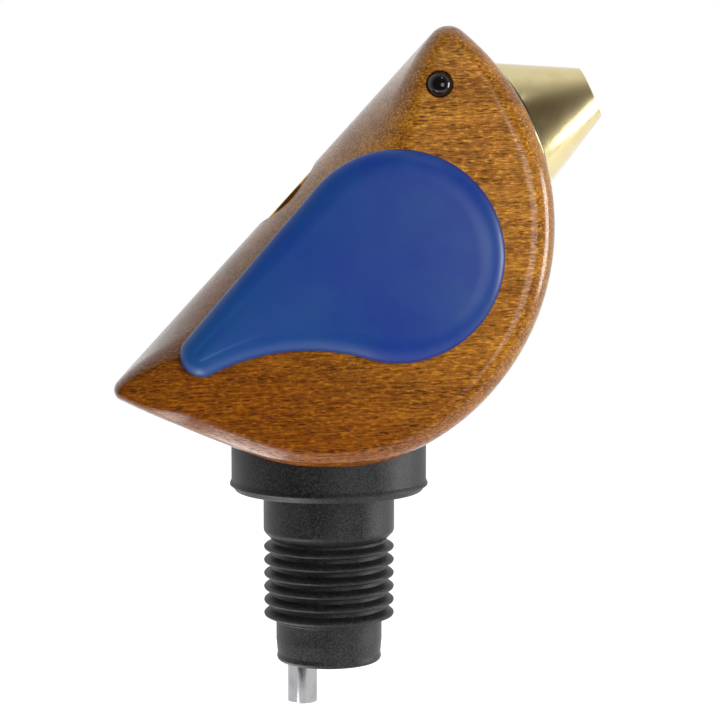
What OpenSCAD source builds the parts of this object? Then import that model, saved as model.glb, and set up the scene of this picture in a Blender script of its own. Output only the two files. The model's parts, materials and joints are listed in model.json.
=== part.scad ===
// Bird-shaped wooden bottle pourer on a ribbed stopper.
// X runs forward to the beak, Y across the bird, Z up.
// The origin is on the stopper's axis, at the underside of its flange.

/* [Wooden body] */
// Thickness of the body across the bird
body_t = 36; // [34:0.5:40]
// Height of the centre of the breast's arc
breast_z = 42.5; // [42:0.1:43]
// Radius of the breast's arc
breast_r = 38.4; // [38:0.1:39]
// Radius of the belly's arc
belly_r = 32.15; // [31.8:0.05:32.5]
// Radius of the nearly straight underside of the tail
under_r = 210; // [180:5:260]
// Slope of the back, in degrees above level
back_slope = 47.75; // [47:0.25:49]
// Distance of the back from the centre of the breast's arc
back_gap = 5.4; // [5.2:0.1:5.6]
// Radius across the back, from side to side
back_crown_r = 22; // [20:1:40]
// Rounding of the side's edge, seen from the side
edge_round = 4; // [2.5:0.5:4.5]
// Rounding of the side's edge, across the body
edge_round_y = 4.5; // [3:0.5:6]

/* [Wings] */
// Height of a wing above the side
wing_h = 3; // [1.5:0.25:4]
// Radius of the wing's shoulder
wing_r = 16.2; // [14:0.2:17]
// Radius of the wing's tip
wing_tip_r = 3.35; // [3:0.05:4]
// Radius of the hollow in the wing's lower edge
wing_hollow_r = 32; // [28:1:40]
// Width of the wing's rolled edge
wing_roll = 4.5; // [2:0.5:5]

/* [Eyes] */
// Radius of a bead eye
eye_r = 1.92; // [1.5:0.02:2.2]

/* [Beak] */
// Angle of the beak above level
beak_angle = 24.8; // [22:0.2:27]
// Radius of the beak at its base
beak_base_r = 10.6; // [9.5:0.1:10.8]
// Radius of the beak at its tip
beak_tip_r = 4.1; // [4.1:0.1:5]
// Length of the beak's cone
beak_len = 12; // [10:0.5:14]

/* [Stopper] */
// Radius of the flange
flange_r = 15.6; // [14:0.1:15.6]
// Radius of the ribs and the neck, over the rubber
rib_r = 10.5; // [10:0.1:11]
// Number of ribs
rib_count = 6; // [4:1:6]
// Distance from one rib to the next
rib_pitch = 2.16; // [2:0.02:2.2]
// Radius of the plug below the ribs
plug_r = 8.5; // [8.3:0.1:9]
// Outer radius of the steel air tube
tube_r = 2.4; // [2.2:0.05:2.4]
// Length of the air tube below the plug
tube_out = 7; // [4:0.5:12]

/* [Hidden] */

round_fn = 96;
through = 1;           // how far a cutting shape runs past a face

// Directions in the bird's side plane, as [x, z]
function way(a) = [cos(a), sin(a)];
function along(p, a, d) = p + d * way(a);
function turned(p, q) = atan2(q[1] - p[1], q[0] - p[0]);
back_normal = back_slope + 90;

// Centres of the arcs that make the body's outline
breast_c = [-3.62, breast_z];
breast_end = -52.6;    // direction in which the breast's arc meets the belly's
belly_end = -109.6;    // direction in which the belly's arc meets the underside
head_r = 3.2;
tail_r = 1.75;
belly_c = along(breast_c, breast_end, breast_r - belly_r);
under_c = along(belly_c, belly_end, belly_r - under_r);
// A small arc of radius r lies inside the back's line and touches an arc (c, big_r)
function in_back(c) = (c - breast_c) * way(back_normal);
function corner(c, big_r, r, sign) =
    let (up = back_gap - r - in_back(c), run = sqrt(pow(big_r - r, 2) - up * up))
    c + up * way(back_normal) + sign * run * way(back_slope);
head_c = corner(breast_c, breast_r, head_r, 1);
tail_c = corner(under_c, under_r, tail_r, -1);

// Heights on the stopper
flange_top = 10.6;
seat_gap = 0.2;        // between the flange and the body's recess
recess_z = flange_top + seat_gap;
neck_end = -6.7;
groove_r = 9.3;
first_rib_z = -9.1;
rib_half = 0.72;       // half the thickness of a rib
rib_land = 0.35;       // half the height of a rib's outer face
rib_core_r = 9;
last_rib_z = first_rib_z - (rib_count - 1) * rib_pitch;
plug_end = -27.6;
core_r = 7.6;
core_disc_r = 13.2;
core_disc_t = 3;
spigot_r = 8.8;
spigot_top = 24;
slide_gap = 0.1;       // between the spigot and its socket
tube_gap = 0.07;       // between the air tube and its duct
channel_x = 3.2;
channel_r = 3;
tube_x = -4.3;
tube_wall = 0.5;
tube_top = 31;
tube_end = plug_end - tube_out;
o_ring_r = 0.75;
o_ring_proud = 0.07;   // how far an O-ring stands out of its groove
o_ring_z = [14.6, 20.6];
groove_half = 0.9;

// Heights in the body
liner_wall = 1;
liner_r = spigot_r + slide_gap + liner_wall;
chamber_top = 26;
liner_roof = 1.2;
liner_top = chamber_top + liner_roof;
duct_r = tube_r + tube_gap;
duct_wall = 0.6;
duct_top = 33;
recess_clear = 0.3;    // round the flange
recess_r = flange_r + recess_clear;

// The beak's bore points at the centre of the breast's arc
beak_floor = 36.5;     // distance of the recess's floor from that centre
seal_t = 0.8;
seal_gap = 0.15;
seal_proud = 0.15;
seal_r = beak_base_r + seal_proud;
beak_recess_r = 11.1;
beak_base = beak_floor + seal_gap + seal_t;
beak_lip = 0.6;
beak_mouth_r = beak_tip_r - beak_lip;
bush_start = 26;
bush_r = 5.6;
junction_r = 5.2;      // rounds the corner where the spout's bore meets the bush's
tail_tube_r = 4.4;
tail_gap = 0.07;
tail_tube_bore = 3.4;
tail_clear = 1.5;      // between the tail's end and the start of the bush
tail_start = bush_start + tail_clear;
beak_o_ring_minor = 0.3;
beak_o_ring_at = 30;
beak_groove_half = 0.4;
beak_groove_clear = 0.01;

// The spout's bore runs from the socket's chamber to the beak's bush
spout_from = [3.9, chamber_top];
spout_to = along(breast_c, beak_angle, bush_start);
spout_angle = turned(spout_from, spout_to);
spout_len = norm(spout_to - spout_from);
spout_bore = 3.5;
spout_r = 4.1;

// The whistle's bore is square to the back
whistle_c = [-6.2, 47.1];
whistle_r = 6.2;
whistle_depth = 12;
cap_depth = 3.5;
cap_t = 1;
cup_depth = 7.5;
cup_r = 6.1;           // its rim is flush with the ridge of the back
cup_bore = 5;
cup_floor = 0.9;
whistle_ring_minor = 0.6;
whistle_ring_depth = 5.6;
whistle_hole_r = 1.1;

// Places a shape drawn along +Z so that it runs in direction a of the side plane
module aim(p, a) {
    translate([p[0], 0, p[1]]) rotate([0, 90 - a, 0]) children();
}

module tube(outer, inner, z0, z1) {
    difference() {
        translate([0, 0, z0]) cylinder(r = outer, h = z1 - z0, $fn = round_fn);
        translate([0, 0, z0 - through])
            cylinder(r = inner, h = z1 - z0 + 2 * through, $fn = round_fn);
    }
}

module ring(major, minor) {
    rotate_extrude($fn = round_fn) translate([major, 0]) circle(r = minor, $fn = 24);
}

// --- outline of the body -------------------------------------------------
// Each entry is [x, z, direction of the outward normal, edge rounding, crown weight]
head_round = 2.6;
tail_round = 1.4;
crown_run = 0.3;       // share of the back over which the crown fades in
function smooth(t) = let (u = min(1, max(0, t))) u * u * (3 - 2 * u);
function mix(a, b, t) = a + (b - a) * t;
function arc(c, r, a0, a1, n, round0, round1, blend) = [
    for (i = [0 : n - 1])
        let (t = i / n, a = mix(a0, a1, t))
        [each along(c, a, r), a, mix(round0, round1, smooth(t / blend)), 0]
];
head_end = turned(breast_c, head_c);
tail_begin = turned(under_c, tail_c);
back_a = along(tail_c, back_normal, tail_r);
back_b = along(head_c, back_normal, head_r);
back_n = 28;
body_outline = concat(
    arc(head_c, head_r, back_normal, head_end, 10, head_round, head_round, 1),
    arc(breast_c, breast_r, head_end, breast_end, 26, head_round, edge_round, 0.25),
    arc(belly_c, belly_r, breast_end, belly_end, 16, edge_round, edge_round, 1),
    [for (e = arc(under_c, under_r, belly_end, tail_begin, 12, 0, 1, 1))
        [e[0], e[1], e[2], mix(edge_round, tail_round, smooth(2 * e[3] - 1)), 0]],
    arc(tail_c, tail_r, tail_begin, back_normal - 360, 10, tail_round, tail_round, 1),
    [for (i = [0 : back_n - 1])
        let (t = i / back_n, w = smooth(t / crown_run) * smooth((1 - t) / crown_run))
        [each mix(back_a, back_b, t), back_normal,
         mix(mix(tail_round, head_round, t), edge_round, w), w]]
);

// How far the outline has drawn in at distance y from the middle of the body
function draw_in(e, y) =
    let (start = body_t / 2 - edge_round_y,
         q = min(1, max(0, (y - start) / edge_round_y)))
    e[4] * y * y / (2 * back_crown_r) + e[3] * (1 - sqrt(1 - q * q));

// A solid whose rings follow an outline. Each cap fans out from a hub, seen from all of its ring.
module ringed_solid(rings, hub_near, hub_far) {
    n = len(rings[0]);
    m = len(rings);
    polyhedron(
        points = concat([for (r = rings) each r], [hub_near, hub_far]),
        faces = [
            for (i = [0 : n - 1])
                let (j = (i + 1) % n, last = (m - 1) * n)
                each [[m * n, i, j], [m * n + 1, last + j, last + i],
                      for (k = [0 : m - 2])
                          each [[k * n + i, (k + 1) * n + i, (k + 1) * n + j],
                                [k * n + i, (k + 1) * n + j, k * n + j]]]
        ]
    );
}

// The outer rings run on in a straight line past the sides, where the blank is then cut flat
module body_blank() {
    half_steps = 12;
    side_y = body_t / 2;
    inner_y = side_y * sin(90 * (half_steps - 1) / half_steps);
    run_on = 0.3;      // share of the last step by which the rings run on
    outer_y = mix(inner_y, side_y, 1 + run_on);
    rings = [for (k = [-half_steps : half_steps])
        let (last = abs(k) == half_steps, y = last ? sign(k) * outer_y : side_y * sin(90 * k / half_steps))
        [for (e = body_outline)
            let (inset = last ? mix(draw_in(e, inner_y), draw_in(e, side_y), 1 + run_on) : draw_in(e, abs(y)),
                 p = along([e[0], e[1]], e[2], -inset)) [p[0], y, p[1]]]];
    difference() {
        mirror([0, 1, 0]) ringed_solid(rings, [belly_c[0], -outer_y, belly_c[1]], [belly_c[0], outer_y, belly_c[1]]);
        for (side = [-1, 1])
            translate([-body_t * 2, side > 0 ? side_y : -side_y - body_t, -body_t])
                cube([body_t * 4, body_t, body_t * 4]);
    }
}

module wooden_body() {
    eye_hole_r = eye_r + eye_clear;
    color("saddlebrown") difference() {
        body_blank();
        translate([0, 0, -flange_top]) cylinder(r = recess_r, h = flange_top + recess_z, $fn = round_fn);
        cylinder(r = liner_r, h = liner_top, $fn = round_fn);
        translate([tube_x, 0, 0]) cylinder(r = duct_r + duct_wall, h = duct_top, $fn = round_fn);
        translate([tube_x, 0, 0]) cylinder(r = duct_r, h = whistle_c[1] - whistle_r, $fn = round_fn);
        aim(spout_from, spout_angle) translate([0, 0, -spout_r])
            cylinder(r = spout_r, h = spout_len + spout_r, $fn = round_fn);
        translate([spout_to[0], 0, spout_to[1]]) sphere(r = junction_r, $fn = 48);
        aim(breast_c, beak_angle) translate([0, 0, bush_start])
            cylinder(r = bush_r, h = beak_floor - bush_start + through, $fn = round_fn);
        aim(breast_c, beak_angle) translate([0, 0, beak_floor])
            cylinder(r = beak_recess_r, h = beak_len, $fn = round_fn);
        aim(whistle_c, back_normal) translate([0, 0, -whistle_depth])
            cylinder(r = whistle_r, h = 2 * whistle_depth, $fn = round_fn);
        for (side = [-1, 1]) {
            eye_at(side) translate([0, 0, -eye_seat]) cylinder(r = eye_hole_r, h = 2 * eye_seat, $fn = 48);
            eye_at(side) translate([0, 0, -eye_pin]) cylinder(r = eye_pin_r, h = eye_pin - through, $fn = 48);
        }
    }
}

// --- wings ---------------------------------------------------------------
wing_c = [10.75, 38.4];
wing_tip_c = [-18.97, 23.5];
wing_gap = norm(wing_c - wing_tip_c);
wing_line = turned(wing_tip_c, wing_c);
wing_top_normal = wing_line + acos((wing_tip_r - wing_r) / wing_gap);
hollow_to_tip = wing_tip_r + wing_hollow_r;
hollow_along = (pow(hollow_to_tip, 2) - pow(wing_r + wing_hollow_r, 2) + pow(wing_gap, 2)) / (2 * wing_gap);
hollow_c = along(along(wing_tip_c, wing_line, hollow_along),
                 wing_line - 90, sqrt(pow(hollow_to_tip, 2) - pow(hollow_along, 2)));
hollow_at_wing = turned(wing_c, hollow_c);
hollow_at_tip = turned(wing_tip_c, hollow_c);
wing_tip_roll = 2.6;
// Each entry is [x, z, direction of the outward normal, width of the rolled edge]
wing_outline = concat(
    arc(wing_c, wing_r, wing_top_normal, hollow_at_wing, 36, wing_roll, wing_roll, 1),
    [for (e = arc(hollow_c, wing_hollow_r, hollow_at_wing + 180, hollow_at_tip + 180, 20,
                  wing_roll, wing_tip_roll, 1)) [e[0], e[1], e[2] - 180, e[3]]],
    arc(wing_tip_c, wing_tip_r, hollow_at_tip, wing_top_normal - 360, 16,
        wing_tip_roll, wing_tip_roll, 1),
    [for (i = [0 : 15])
        [each mix(along(wing_tip_c, wing_top_normal, wing_tip_r),
                  along(wing_c, wing_top_normal, wing_r), i / 16),
         wing_top_normal, mix(wing_tip_roll, wing_roll, smooth(i / 16))]]
);

module wing() {
    wall = 0.5;        // height of the wing's edge before it rolls over
    steps = 7;
    levels = concat([[0, 0]], [for (k = [0 : steps])
        [wall + (wing_h - wall) * sin(90 * k / steps), 1 - cos(90 * k / steps)]]);
    rings = [for (v = levels)
        [for (e = wing_outline)
            let (p = along([e[0], e[1]], e[2], -e[3] * v[1])) [p[0], v[0], p[1]]]];
    ringed_solid(rings, [wing_c[0], 0, wing_c[1]], [wing_c[0], wing_h, wing_c[1]]);
}

module wing_left() {
    color("royalblue") translate([0, body_t / 2, 0]) wing();
}

module wing_right() {
    color("royalblue") translate([0, -body_t / 2, 0]) mirror([0, 1, 0]) wing();
}

// --- eyes ----------------------------------------------------------------
eye_c = [16.95, 64.35];
eye_seat = 2.4;
eye_pin = 6;
eye_pin_r = 0.8;
eye_sink = 0.2;        // how deep the bead's centre lies under the side
eye_clear = 0.12;      // between the bead and its hole

module eye_at(side) {
    translate([eye_c[0], side * body_t / 2, eye_c[1]]) rotate([-90 * side, 0, 0]) children();
}

module eye() {
    translate([0, 0, -eye_sink]) sphere(r = eye_r, $fn = 48);
    translate([0, 0, -eye_pin]) cylinder(r = eye_pin_r, h = eye_pin - eye_sink, $fn = 48);
}

module eye_left() {
    color("black") eye_at(1) eye();
}

module eye_right() {
    color("black") eye_at(-1) eye();
}

// --- linings of the bores --------------------------------------------------
module socket_liner() {
    color("dimgray") difference() {
        translate([0, 0, recess_z]) cylinder(r = liner_r, h = liner_top - recess_z, $fn = round_fn);
        translate([0, 0, recess_z - through])
            cylinder(r = liner_r - liner_wall, h = chamber_top - recess_z + through, $fn = round_fn);
        translate([tube_x, 0, chamber_top - through])
            cylinder(r = duct_r + duct_wall, h = liner_top, $fn = round_fn);
        aim(spout_from, spout_angle) translate([0, 0, -spout_r]) cylinder(r = spout_r, h = spout_len, $fn = round_fn);
    }
}

module spout_liner() {
    color("dimgray") difference() {
        intersection() {
            aim(spout_from, spout_angle) translate([0, 0, -2 * spout_r])
                cylinder(r = spout_r, h = spout_len + 2 * spout_r - bush_r, $fn = round_fn);
            translate([0, 0, chamber_top]) cylinder(r = 2 * liner_r, h = breast_z, $fn = round_fn);
        }
        aim(spout_from, spout_angle) translate([0, 0, -4 * spout_r])
            cylinder(r = spout_bore, h = spout_len + 4 * spout_r, $fn = round_fn);
    }
}

module beak_bush() {
    color("dimgray") aim(breast_c, beak_angle) difference() {
        tube(bush_r, tail_tube_r + tail_gap, bush_start + through, beak_floor);
        translate([0, 0, bush_start]) sphere(r = tail_tube_r, $fn = 48);
    }
}

module air_duct() {
    color("dimgray") translate([tube_x, 0, 0]) tube(duct_r + duct_wall, duct_r, chamber_top, duct_top);
}

// --- whistle ---------------------------------------------------------------
module whistle_at(depth) {
    aim(whistle_c, back_normal) translate([0, 0, -depth]) children();
}

module whistle_cup() {
    groove_in = whistle_r - 2 * whistle_ring_minor;
    cap_ledge = 0.6;
    color("gainsboro") whistle_at(cup_depth) difference() {
        cylinder(r = cup_r, h = cup_depth, $fn = round_fn);
        translate([0, 0, cup_floor]) cylinder(r = cup_bore - cap_ledge, h = cup_depth, $fn = round_fn);
        translate([0, 0, cup_depth - cap_depth - cap_t]) cylinder(r = cup_bore, h = cup_depth, $fn = round_fn);
        translate([0, 0, -through]) cylinder(r = whistle_hole_r, h = cup_depth, $fn = round_fn);
        translate([0, 0, cup_depth - whistle_ring_depth - whistle_ring_minor])
            tube(cup_r + through, groove_in, 0, 2 * whistle_ring_minor);
    }
}

module whistle_cap() {
    color("gainsboro") whistle_at(cap_depth + cap_t) tube(cup_bore, whistle_hole_r, 0, cap_t);
}

module whistle_ring() {
    color("black") whistle_at(whistle_ring_depth) ring(whistle_r - whistle_ring_minor, whistle_ring_minor);
}

// --- beak --------------------------------------------------------------------
module beak_cone() {
    wall = 0.9;
    web_t = 1.2;
    inner_lip = 3;     // depth of the ledge inside the mouth
    tip = beak_base + beak_len;
    slope = (beak_base_r - beak_tip_r) / beak_len;
    color("darkkhaki") aim(breast_c, beak_angle) difference() {
        rotate_extrude($fn = round_fn) difference() {
            union() {
                polygon([[tail_tube_bore, beak_base], [beak_base_r, beak_base],
                         [beak_tip_r + slope * beak_lip, tip - beak_lip], [beak_mouth_r, tip - beak_lip],
                         [beak_mouth_r - wall, tip - inner_lip], [tail_tube_bore, beak_base + web_t]]);
                translate([beak_mouth_r + beak_lip / 2, tip - beak_lip])
                    circle(r = beak_lip / 2, $fn = 24);
                translate([tail_tube_bore, tail_start])
                    square([tail_tube_r - tail_tube_bore, beak_base - tail_start + through]);
            }
            polygon([[0, beak_base + web_t], [beak_base_r - wall - slope * web_t, beak_base + web_t],
                     [beak_mouth_r, tip - beak_lip], [beak_mouth_r, tip + through], [0, tip + through]]);
        }
        translate([0, 0, beak_o_ring_at]) tube(tail_tube_r + through,
            tail_tube_r + tail_gap / 2 - 2 * beak_o_ring_minor - beak_groove_clear,
            -beak_groove_half, beak_groove_half);
    }
}

module beak_seal() {
    color("black") aim(breast_c, beak_angle)
        tube(seal_r, tail_tube_r, beak_floor + seal_gap, beak_base);
}

module beak_o_ring() {
    outer = tail_tube_r + tail_gap / 2;
    color("black") aim(breast_c, beak_angle) translate([0, 0, beak_o_ring_at])
        ring(outer - beak_o_ring_minor, beak_o_ring_minor);
}

// --- stopper -----------------------------------------------------------------
module stopper_core() {
    disc_z = flange_top - core_disc_t;
    groove_in = spigot_r + o_ring_proud - 2 * o_ring_r;
    color("#202020") difference() {
        union() {
            translate([0, 0, plug_end]) cylinder(r = core_r, h = disc_z - plug_end, $fn = round_fn);
            translate([0, 0, disc_z]) cylinder(r = core_disc_r, h = core_disc_t, $fn = round_fn);
            translate([0, 0, disc_z]) cylinder(r = spigot_r, h = spigot_top - disc_z, $fn = round_fn);
        }
        for (z = o_ring_z)
            tube(spigot_r + through, groove_in, z - groove_half, z + groove_half);
        translate([channel_x, 0, plug_end - through])
            cylinder(r = channel_r, h = spigot_top - plug_end + 2 * through, $fn = round_fn);
        translate([tube_x, 0, plug_end - through])
            cylinder(r = tube_r, h = spigot_top - plug_end + 2 * through, $fn = round_fn);
    }
}

module stopper_rubber() {
    foot_bevel = 0.6;
    lip_z = 0.9;       // the moulding's parting lip round the flange
    lip_out = 0.25;
    lip_top_z = 1.2;
    lip_fade_z = 1.8;
    neck_round = 1.1;
    plug_top = last_rib_z - rib_half;
    plug_step = plug_top - 0.4;
    plug_straight_end = plug_top - 3.6;
    plug_waist = 0.2;
    plug_waist_z = plug_end + 1.2;
    plug_edge = 0.4;
    rib_bevel = 0.35;
    ribs = [for (i = [0 : rib_count - 1])
        let (z = first_rib_z - i * rib_pitch)
        each [[rib_core_r, z + rib_half], [rib_r - rib_bevel, z + rib_half], [rib_r, z + rib_land],
              [rib_r, z - rib_land], [rib_r - rib_bevel, z - rib_half], [rib_core_r, z - rib_half]]];
    flange = [[core_r, flange_top - core_disc_t], [core_disc_r, flange_top - core_disc_t],
              [core_disc_r, flange_top], [flange_r, flange_top], [flange_r, lip_fade_z],
              [flange_r + lip_out, lip_top_z], [flange_r + lip_out, lip_z], [flange_r - foot_bevel, 0]];
    neck = [[rib_r, 0], [rib_r, neck_end], [groove_r, neck_end - neck_round],
            [rib_core_r, neck_end - neck_round]];
    plug = [[rib_core_r, plug_step], [plug_r, plug_step], [plug_r, plug_straight_end],
            [plug_r - plug_waist, plug_waist_z], [plug_r - plug_waist, plug_end + plug_edge],
            [plug_r - plug_edge, plug_end], [core_r, plug_end]];
    color("#181818") rotate_extrude($fn = round_fn) polygon(concat(flange, neck, ribs, plug));
}

module air_tube() {
    color("silver") translate([tube_x, 0, 0]) tube(tube_r, tube_r - tube_wall, tube_end, tube_top);
}

module core_o_ring(z) {
    color("black") translate([0, 0, z]) ring(spigot_r + o_ring_proud - o_ring_r, o_ring_r);
}

module core_o_ring_lower() {
    core_o_ring(o_ring_z[0]);
}

module core_o_ring_upper() {
    core_o_ring(o_ring_z[1]);
}

wooden_body();
wing_left();
wing_right();
eye_left();
eye_right();
socket_liner();
spout_liner();
beak_bush();
air_duct();
whistle_cup();
whistle_cap();
whistle_ring();
beak_cone();
beak_seal();
beak_o_ring();
stopper_core();
stopper_rubber();
air_tube();
core_o_ring_lower();
core_o_ring_upper();
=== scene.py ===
# %% [markdown]
# # A bird-shaped wooden bottle pourer
# This lesson dresses a pourer that was already drawn as solid parts. The visible ones are then
# made again as fine surfaces, each with its own finish: walnut, blue lacquer, brass, glass,
# rubber and steel.

# %% Load the frame
import json
import math
import bmesh
import bpy
import numpy as np
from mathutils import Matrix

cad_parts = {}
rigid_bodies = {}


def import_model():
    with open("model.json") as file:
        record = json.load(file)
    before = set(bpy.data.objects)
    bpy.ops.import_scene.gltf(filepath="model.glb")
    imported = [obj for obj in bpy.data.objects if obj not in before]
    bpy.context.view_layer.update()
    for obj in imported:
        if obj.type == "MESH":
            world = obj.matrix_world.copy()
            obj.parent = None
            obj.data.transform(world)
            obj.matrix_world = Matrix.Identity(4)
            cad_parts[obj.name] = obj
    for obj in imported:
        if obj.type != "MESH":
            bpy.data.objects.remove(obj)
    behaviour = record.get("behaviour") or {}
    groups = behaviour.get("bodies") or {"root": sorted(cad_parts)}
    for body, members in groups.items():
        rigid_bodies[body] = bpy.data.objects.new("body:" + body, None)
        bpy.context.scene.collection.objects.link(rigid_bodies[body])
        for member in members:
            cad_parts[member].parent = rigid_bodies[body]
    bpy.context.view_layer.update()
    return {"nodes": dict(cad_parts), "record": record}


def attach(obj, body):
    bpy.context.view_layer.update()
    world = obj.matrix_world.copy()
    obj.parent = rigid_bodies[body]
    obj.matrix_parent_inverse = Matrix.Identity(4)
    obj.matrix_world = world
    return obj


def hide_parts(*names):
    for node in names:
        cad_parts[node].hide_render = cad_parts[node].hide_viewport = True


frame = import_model()
nodes = frame["nodes"]
scene = bpy.context.scene

# %% [markdown]
# ## Units and directions
# Blender works in metres, and a small object is easier to think about in millimetres, so lengths
# are written in millimetres and turned into metres once, where a mesh is made. X runs forward to
# the beak, Y across the bird and Z up. A direction in the side plane is an angle above the X axis.

# %% Units and directions
MM = 0.001
BEAK_ANGLE = 24.8
BACK_NORMAL = 137.75


def way(angle):
    """The direction at an angle, in degrees, above X in the side plane: (cos a, sin a)."""
    a = np.radians(angle)
    return np.stack([np.cos(a), np.sin(a)], -1)


def towards(start, end):
    """The angle, in degrees, of the line from start to end: atan2 of its rise over its run."""
    run, rise = np.subtract(end, start)
    return math.degrees(math.atan2(rise, run))


def smooth(t):
    """Goes from 0 to 1 with level ends: 3 t squared minus 2 t cubed, with t held in 0 to 1."""
    t = np.clip(t, 0, 1)
    return t * t * (3 - 2 * t)


def mix(a, b, t):
    """A share t of the way from a to b: a + (b - a) t."""
    return a + (b - a) * t


print("the beak's direction:", way(BEAK_ANGLE).round(3))

# %% [markdown]
# ## From a grid of points to a piece
# Every surface below is a grid: rows along one parameter, columns along another. One helper
# joins neighbouring grid points with four-sided faces. Another turns points and faces into an
# object: it merges the points that meet at a seam or a pole, turns all faces outwards and marks
# edges sharper than a chosen angle, so that smooth parts shade smoothly and corners stay crisp.

# %% Helpers that build meshes
def grid_faces(rows, columns, rows_closed=False, columns_closed=True):
    """Faces (i, j), (i, j+1), (i+1, j+1), (i+1, j) for every cell; closed sides wrap round."""
    i = np.arange(rows if rows_closed else rows - 1)[:, None]
    j = np.arange(columns if columns_closed else columns - 1)[None, :]
    below, right = (i + 1) % rows, (j + 1) % columns
    corners = [i * columns + j, i * columns + right, below * columns + right, below * columns + j]
    return np.stack(corners, -1).reshape(-1, 4)


def capped_faces(rows, columns):
    """The faces of a grid, and one many-sided face over its first and over its last row."""
    last = (rows - 1) * columns
    caps = [list(range(columns)), list(range(last, last + columns))]
    return grid_faces(rows, columns).tolist() + caps


def new_mesh(name, points, faces, weld=1e-4):
    """A mesh in metres from points in millimetres, welded, with its faces outwards."""
    mesh = bpy.data.meshes.new(name)
    metres = np.asarray(points).reshape(-1, 3) * MM
    mesh.from_pydata(metres.tolist(), [], [list(f) for f in faces])
    work = bmesh.new()
    work.from_mesh(mesh)
    bmesh.ops.remove_doubles(work, verts=work.verts, dist=weld * MM)
    bmesh.ops.dissolve_degenerate(work, edges=work.edges, dist=weld * MM)
    bmesh.ops.recalc_face_normals(work, faces=work.faces)
    work.to_mesh(mesh)
    work.free()
    return mesh


def shade(mesh, sharp_angle=32):
    """Smooth shading, with edges that turn by more than sharp_angle degrees kept sharp."""
    mesh.shade_smooth()
    mesh.set_sharp_from_angle(angle=math.radians(sharp_angle))


def add_object(name, mesh):
    piece = bpy.data.objects.new(name, mesh)
    scene.collection.objects.link(piece)
    return piece


def dress(piece, material, node):
    """Gives a piece its finish, its body and the part that it stands for."""
    piece.data.materials.clear()
    piece.data.materials.append(material)
    body = next(b for b, names in frame["record"]["behaviour"]["bodies"].items() if node in names)
    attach(piece, body)
    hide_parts(node)
    print(piece.name, "rides on", body, "faces:", len(piece.data.polygons))


def place(points, origin, angle):
    """Turns points drawn round the Z axis so that Z runs at an angle above X, from origin.
    A point (x, y, z) goes to origin + z (cos a, 0, sin a) + x (sin a, 0, -cos a) + y (0, 1, 0)."""
    c, s = way(angle)
    x, y, z = points[..., 0], points[..., 1], points[..., 2]
    return np.stack([origin[0] + z * c + x * s, y, origin[1] + z * s - x * c], -1)


def spin(profile, turns=144):
    """A surface of revolution: profile point (r, z) at turn a goes to (r cos a, r sin a, z)."""
    a = np.linspace(0, 2 * np.pi, turns, endpoint=False)
    r, z = profile[:, 0][:, None], profile[:, 1][:, None]
    return np.stack([r * np.cos(a), r * np.sin(a), z + 0 * a], -1)


def fillet(corners, steps=6):
    """Rounds the corners (r, z, radius) of a closed line. An arc of that radius touches both
    sides at the distance radius / tan(half the corner's angle) from the corner."""
    corners = np.array(corners, float)
    tip, radius = corners[:, :2], corners[:, 2]
    back, ahead = np.roll(tip, 1, 0) - tip, np.roll(tip, -1, 0) - tip
    back_len, ahead_len = np.linalg.norm(back, axis=1), np.linalg.norm(ahead, axis=1)
    back, ahead = back / back_len[:, None], ahead / ahead_len[:, None]
    half = np.arccos(np.clip((back * ahead).sum(1), -1, 1)) / 2
    reach = np.minimum(radius / np.tan(half), 0.49 * np.minimum(back_len, ahead_len))
    radius = reach * np.tan(half)
    bisector = back + ahead
    bisector /= np.linalg.norm(bisector, axis=1)[:, None]
    centre = tip + bisector * (radius / np.sin(half))[:, None]
    start, end = tip + back * reach[:, None] - centre, tip + ahead * reach[:, None] - centre
    a0 = np.arctan2(start[:, 1], start[:, 0])
    turn = (np.arctan2(end[:, 1], end[:, 0]) - a0 + np.pi) % (2 * np.pi) - np.pi
    a = a0[:, None] + turn[:, None] * np.linspace(0, 1, steps)
    line = centre[:, None] + radius[:, None, None] * np.stack([np.cos(a), np.sin(a)], -1)
    line = line.reshape(-1, 2)
    return line[np.linalg.norm(line - np.roll(line, 1, 0), axis=1) > 1e-6]


rounded_square = fillet([[1, 0, 0.2], [2, 0, 0.2], [2, 1, 0.2], [1, 1, 0.2]])
print("a rounded square has", len(rounded_square), "points")

# %% [markdown]
# ## Shader maths that reads like maths
# A material is a network of nodes, and long networks are hard to read as code. The class below
# wraps one socket and gives it Python's operators, so `1 - mask * 0.5` adds the Math nodes by
# itself. Colours must not go through Math nodes, which would turn them grey, so they have their
# own `blend`. Every other node comes from one method, `node`.

# %% A finish and its sockets
class Wire:
    """One value inside a finish. Operators on it add Math nodes."""

    def __init__(self, finish, socket):
        self.finish = finish
        self.socket = socket

    def math(self, operation, other, swap=False):
        pair = {0: other, 1: self} if swap else {0: self, 1: other}
        return self.finish.node("ShaderNodeMath", {"operation": operation}, pair)

    def __add__(self, other):
        return self.math("ADD", other)

    def __sub__(self, other):
        return self.math("SUBTRACT", other)

    def __mul__(self, other):
        return self.math("MULTIPLY", other)

    def __rsub__(self, other):
        return self.math("SUBTRACT", other, swap=True)

    __radd__ = __add__
    __rmul__ = __mul__


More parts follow.
